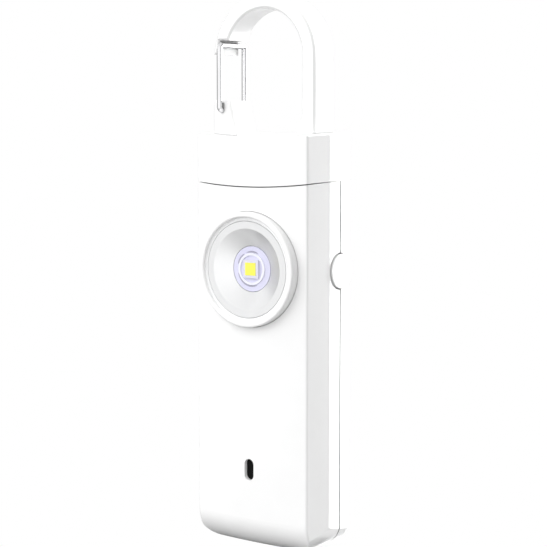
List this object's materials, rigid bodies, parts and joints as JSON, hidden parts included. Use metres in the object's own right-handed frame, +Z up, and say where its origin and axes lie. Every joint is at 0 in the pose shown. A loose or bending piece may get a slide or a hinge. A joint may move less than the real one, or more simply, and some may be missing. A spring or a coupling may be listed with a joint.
{
  "type": "personal safety alarm",
  "caption": "Pocket personal safety alarm with a pull-off cap, snap hook with wire gate, round torch lamp, siren slot and side button.",
  "frame": {"origin": "centre of the flat foot under the alarm, at the lowest plane it stands on, on the body's middle plane", "axes": "+Z up to the hook, -Y out of the front face with the lamp, +X towards the side with the push button"},
  "size_m": [0.0282, 0.0175, 0.1113],
  "materials": {
    "shell_plastic": "satin white moulding",
    "hook_enamel": "white enamel on die casting",
    "steel": "polished stainless",
    "inner_plastic": "plain moulding",
    "lens": "clear domed lens",
    "mirror_plastic": "vacuum-metallised reflector",
    "led_board": "pale violet solder mask",
    "led_ceramic": "white ceramic",
    "phosphor": "yellow phosphor gel",
    "mesh": "black acoustic mesh",
    "brass": "rolled brass",
    "circuit_board": "green solder mask",
    "chip": "black moulded package",
    "soft_cover": "white soft rubber",
    "battery_foil": "laminated pouch foil",
    "tape": "adhesive foam tape",
    "lead": "insulated wire"
  },
  "bodies": {
    "body": {"front_shell": "shell_plastic", "back_shell": "shell_plastic", "shell_screws": "steel", "pin_guide": "inner_plastic", "lamp_bezel": "shell_plastic", "lamp_lens": "lens", "reflector": "mirror_plastic", "led_board": "led_board", "led_dam": "led_ceramic", "led_package": "led_ceramic", "led_phosphor": "phosphor", "sound_mesh": "mesh", "piezo_disc": "brass", "piezo_ceramic": "led_ceramic", "sounder_ring": "inner_plastic", "main_board": "circuit_board", "board_screws": "steel", "controller_chip": "chip", "boost_coil": "chip", "tact_switch": "chip", "pull_switch": "chip", "charge_socket": "steel", "battery_cell": "battery_foil", "battery_tape": "tape", "lamp_leads": "lead", "siren_leads": "lead", "battery_leads": "lead"},
    "cap": {"cap_shell": "shell_plastic", "cap_base_plate": "inner_plastic", "pull_pin": "steel", "carry_hook": "hook_enamel", "gate_post": "hook_enamel", "hook_keeper": "steel", "cap_screws": "steel"},
    "gate": {"wire_gate": "steel"},
    "button": {"side_button": "shell_plastic"},
    "switch_plunger": {"tact_plunger": "inner_plastic"},
    "siren_plunger": {"pull_plunger": "inner_plastic"},
    "cover": {"port_cover": "soft_cover"}
  },
  "joints": [
    {"name": "cap_pull", "type": "slide", "parent": "body", "child": "cap", "axis": [0, 0, 1], "range_m": [0, 0.012]},
    {"name": "gate_swing", "type": "hinge", "parent": "cap", "child": "gate", "pos_m": [-0.0103, 0, 0.0884], "axis": [0, 1, 0], "range_deg": [0, 35], "stiffness_Nm_per_rad": 0.02},
    {"name": "button_press", "type": "slide", "parent": "body", "child": "button", "axis": [-1, 0, 0], "range_m": [0, 0.0005], "stiffness_N_per_m": 600},
    {"name": "switch_press", "type": "slide", "parent": "body", "child": "switch_plunger", "axis": [-1, 0, 0], "range_m": [0, 0.0005]},
    {"name": "siren_release", "type": "slide", "parent": "body", "child": "siren_plunger", "axis": [0, 0, 1], "range_m": [0, 0.0008]},
    {"name": "cover_swing", "type": "hinge", "parent": "body", "child": "cover", "pos_m": [-0.01373, 0, 0.0265], "axis": [0, -1, 0], "range_deg": [0, 100]}
  ],
  "couplings": [
    {"joint": "switch_press", "follows": "button_press", "ratio": 1},
    {"joint": "siren_release", "follows": "cap_pull", "ratio": 0.066667}
  ]
}
